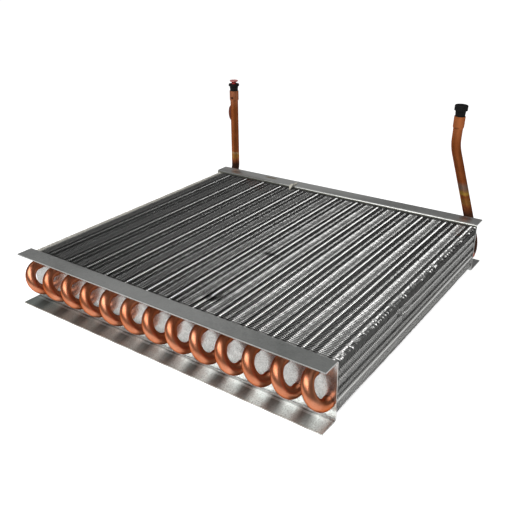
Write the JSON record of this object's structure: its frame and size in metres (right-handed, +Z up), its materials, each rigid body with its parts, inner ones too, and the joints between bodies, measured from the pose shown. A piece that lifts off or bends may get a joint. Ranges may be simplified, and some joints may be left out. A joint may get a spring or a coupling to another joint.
{
  "type": "finned condenser coil",
  "caption": "Finned tube heat exchanger coil: copper hairpins through aluminium fins between galvanised end plates, with plugged upright connections",
  "frame": {"origin": "on the floor under the middle of the whole coil, which lies on its bottom flanges", "axes": "+X along the end plates to the outlet's side, +Y from the hairpin bends to the risers, +Z up through the thickness of the fin pack"},
  "size_m": [0.3316, 0.3358, 0.1623],
  "materials": {
    "galvanised": "dull galvanised sheet, spangled and speckled",
    "fins": "bare thin sheet",
    "copper": "drawn copper, heat stained at the brazed ends",
    "plug_rubber": "matt black rubber",
    "red_cap": "moulded red plastic"
  },
  "bodies": {
    "root": {"front_end_plate": "galvanised", "rear_end_plate": "galvanised", "fin_pack": "fins", "hairpin_01": "copper", "hairpin_02": "copper", "hairpin_03": "copper", "hairpin_04": "copper", "hairpin_05": "copper", "hairpin_06": "copper", "hairpin_07": "copper", "hairpin_08": "copper", "hairpin_09": "copper", "hairpin_10": "copper", "hairpin_11": "copper", "hairpin_12": "copper", "hairpin_13": "copper", "return_bend_01": "copper", "return_bend_02": "copper", "return_bend_03": "copper", "return_bend_04": "copper", "return_bend_05": "copper", "return_bend_06": "copper", "return_bend_07": "copper", "return_bend_08": "copper", "return_bend_09": "copper", "return_bend_10": "copper", "return_bend_11": "copper", "return_bend_12": "copper", "inlet_riser": "copper", "outlet_riser": "copper", "inlet_plug": "plug_rubber", "outlet_plug": "plug_rubber", "inlet_cap": "red_cap"}
  },
  "joints": []
}
